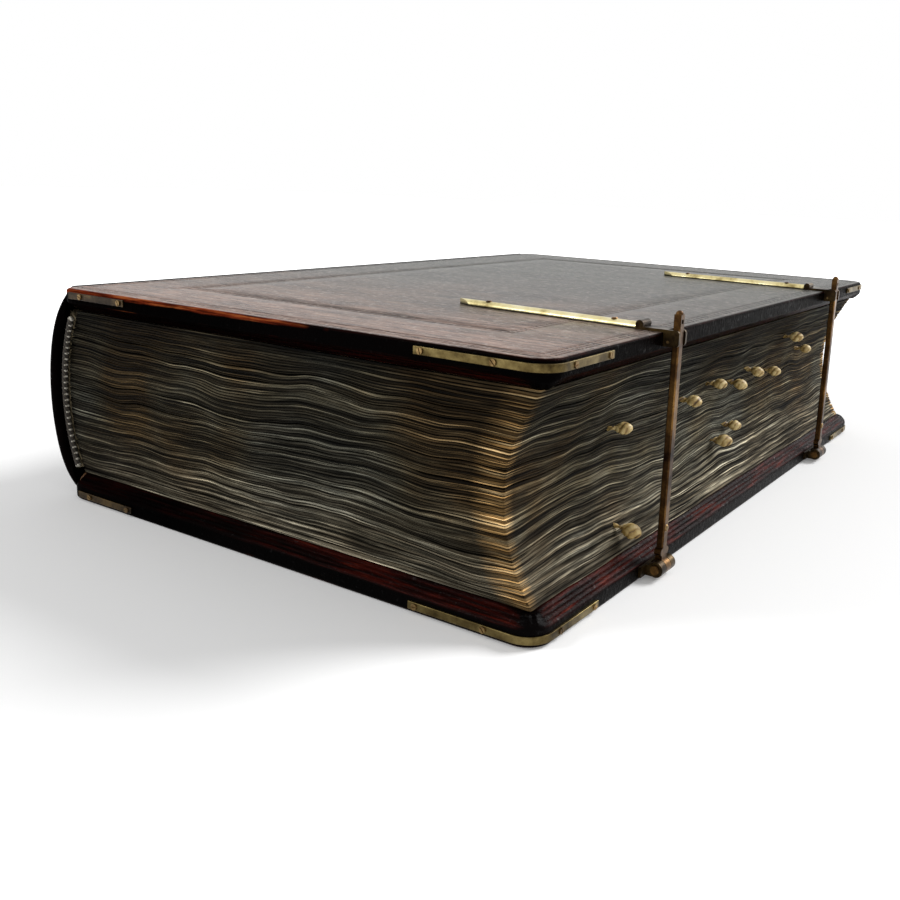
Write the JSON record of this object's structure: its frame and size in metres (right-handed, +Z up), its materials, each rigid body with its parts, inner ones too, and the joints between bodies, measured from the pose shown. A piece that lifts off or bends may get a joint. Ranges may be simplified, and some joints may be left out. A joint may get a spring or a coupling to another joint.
{
  "type": "antique leather book",
  "caption": "Large closed folio in tooled brown leather over bevelled wooden boards, with brass edge strips, long hinged clasps and knotted leaf markers.",
  "frame": {"origin": "centre of the lower cover's underside", "axes": "+X from the spine to the fore-edge, +Y along the spine from the near end to the far end, +Z up through the closed book"},
  "size_m": [0.2841, 0.4078, 0.1088],
  "materials": {
    "oak_board": "planed oak",
    "cover_leather": "worn brown calf, tooled",
    "pastedown_paper": "aged laid paper",
    "strip_brass": "tarnished",
    "nail_brass": "tarnished",
    "leaf_paper": "cockled, darkened leaf edges",
    "hemp_cord": "twisted hemp",
    "lining_linen": "glued linen",
    "spine_leather": "near black, polished by handling",
    "endband_thread": "wound thread",
    "marker_parchment": "knotted parchment",
    "clasp_brass": "dark, worn bright on edges",
    "strap_brass": "polished"
  },
  "bodies": {
    "lower_cover": {"lower_cover_board": "oak_board", "lower_cover_leather": "cover_leather", "lower_cover_pastedown": "pastedown_paper", "lower_cover_near_corner_strip": "strip_brass", "lower_cover_far_corner_strip": "strip_brass", "lower_cover_near_spine_strip": "strip_brass", "lower_cover_far_spine_strip": "strip_brass", "lower_cover_strip_nails": "nail_brass", "near_clasp_hinge": "clasp_brass", "near_clasp_hinge_pin": "nail_brass", "far_clasp_hinge": "clasp_brass", "far_clasp_hinge_pin": "nail_brass"},
    "leaves": {"text_block": "leaf_paper", "sewing_cords": "hemp_cord", "spine_lining": "lining_linen", "spine_leather": "spine_leather", "near_endband": "endband_thread", "far_endband": "endband_thread", "leaf_markers": "marker_parchment"},
    "upper_cover": {"upper_cover_board": "oak_board", "upper_cover_leather": "cover_leather", "upper_cover_pastedown": "pastedown_paper", "upper_cover_near_corner_strip": "strip_brass", "upper_cover_far_corner_strip": "strip_brass", "upper_cover_near_spine_strip": "strip_brass", "upper_cover_far_spine_strip": "strip_brass", "upper_cover_strip_nails": "nail_brass", "near_clasp_catch": "clasp_brass", "near_clasp_catch_pin": "nail_brass", "near_clasp_strap": "strap_brass", "near_clasp_strap_pins": "nail_brass", "far_clasp_catch": "clasp_brass", "far_clasp_catch_pin": "nail_brass", "far_clasp_strap": "strap_brass", "far_clasp_strap_pins": "nail_brass"},
    "near_clasp": {"near_clasp_arm": "clasp_brass", "near_clasp_rivet": "nail_brass"},
    "far_clasp": {"far_clasp_arm": "clasp_brass", "far_clasp_rivet": "nail_brass"}
  },
  "joints": [
    {"name": "lower_cover_joint", "type": "hinge", "parent": "lower_cover", "child": "leaves", "pos_m": [-0.13, 0, 0], "axis": [0, -1, 0], "range_deg": [0, 90]},
    {"name": "upper_cover_joint", "type": "hinge", "parent": "leaves", "child": "upper_cover", "pos_m": [-0.13, 0, 0.1], "axis": [0, -1, 0], "range_deg": [0, 175]},
    {"name": "near_clasp_hinge_joint", "type": "hinge", "parent": "lower_cover", "child": "near_clasp", "pos_m": [0.1352, -0.1125, 0.0046], "axis": [0, 1, 0], "range_deg": [0, 90]},
    {"name": "far_clasp_hinge_joint", "type": "hinge", "parent": "lower_cover", "child": "far_clasp", "pos_m": [0.1352, 0.1125, 0.0046], "axis": [0, 1, 0], "range_deg": [0, 90]}
  ]
}
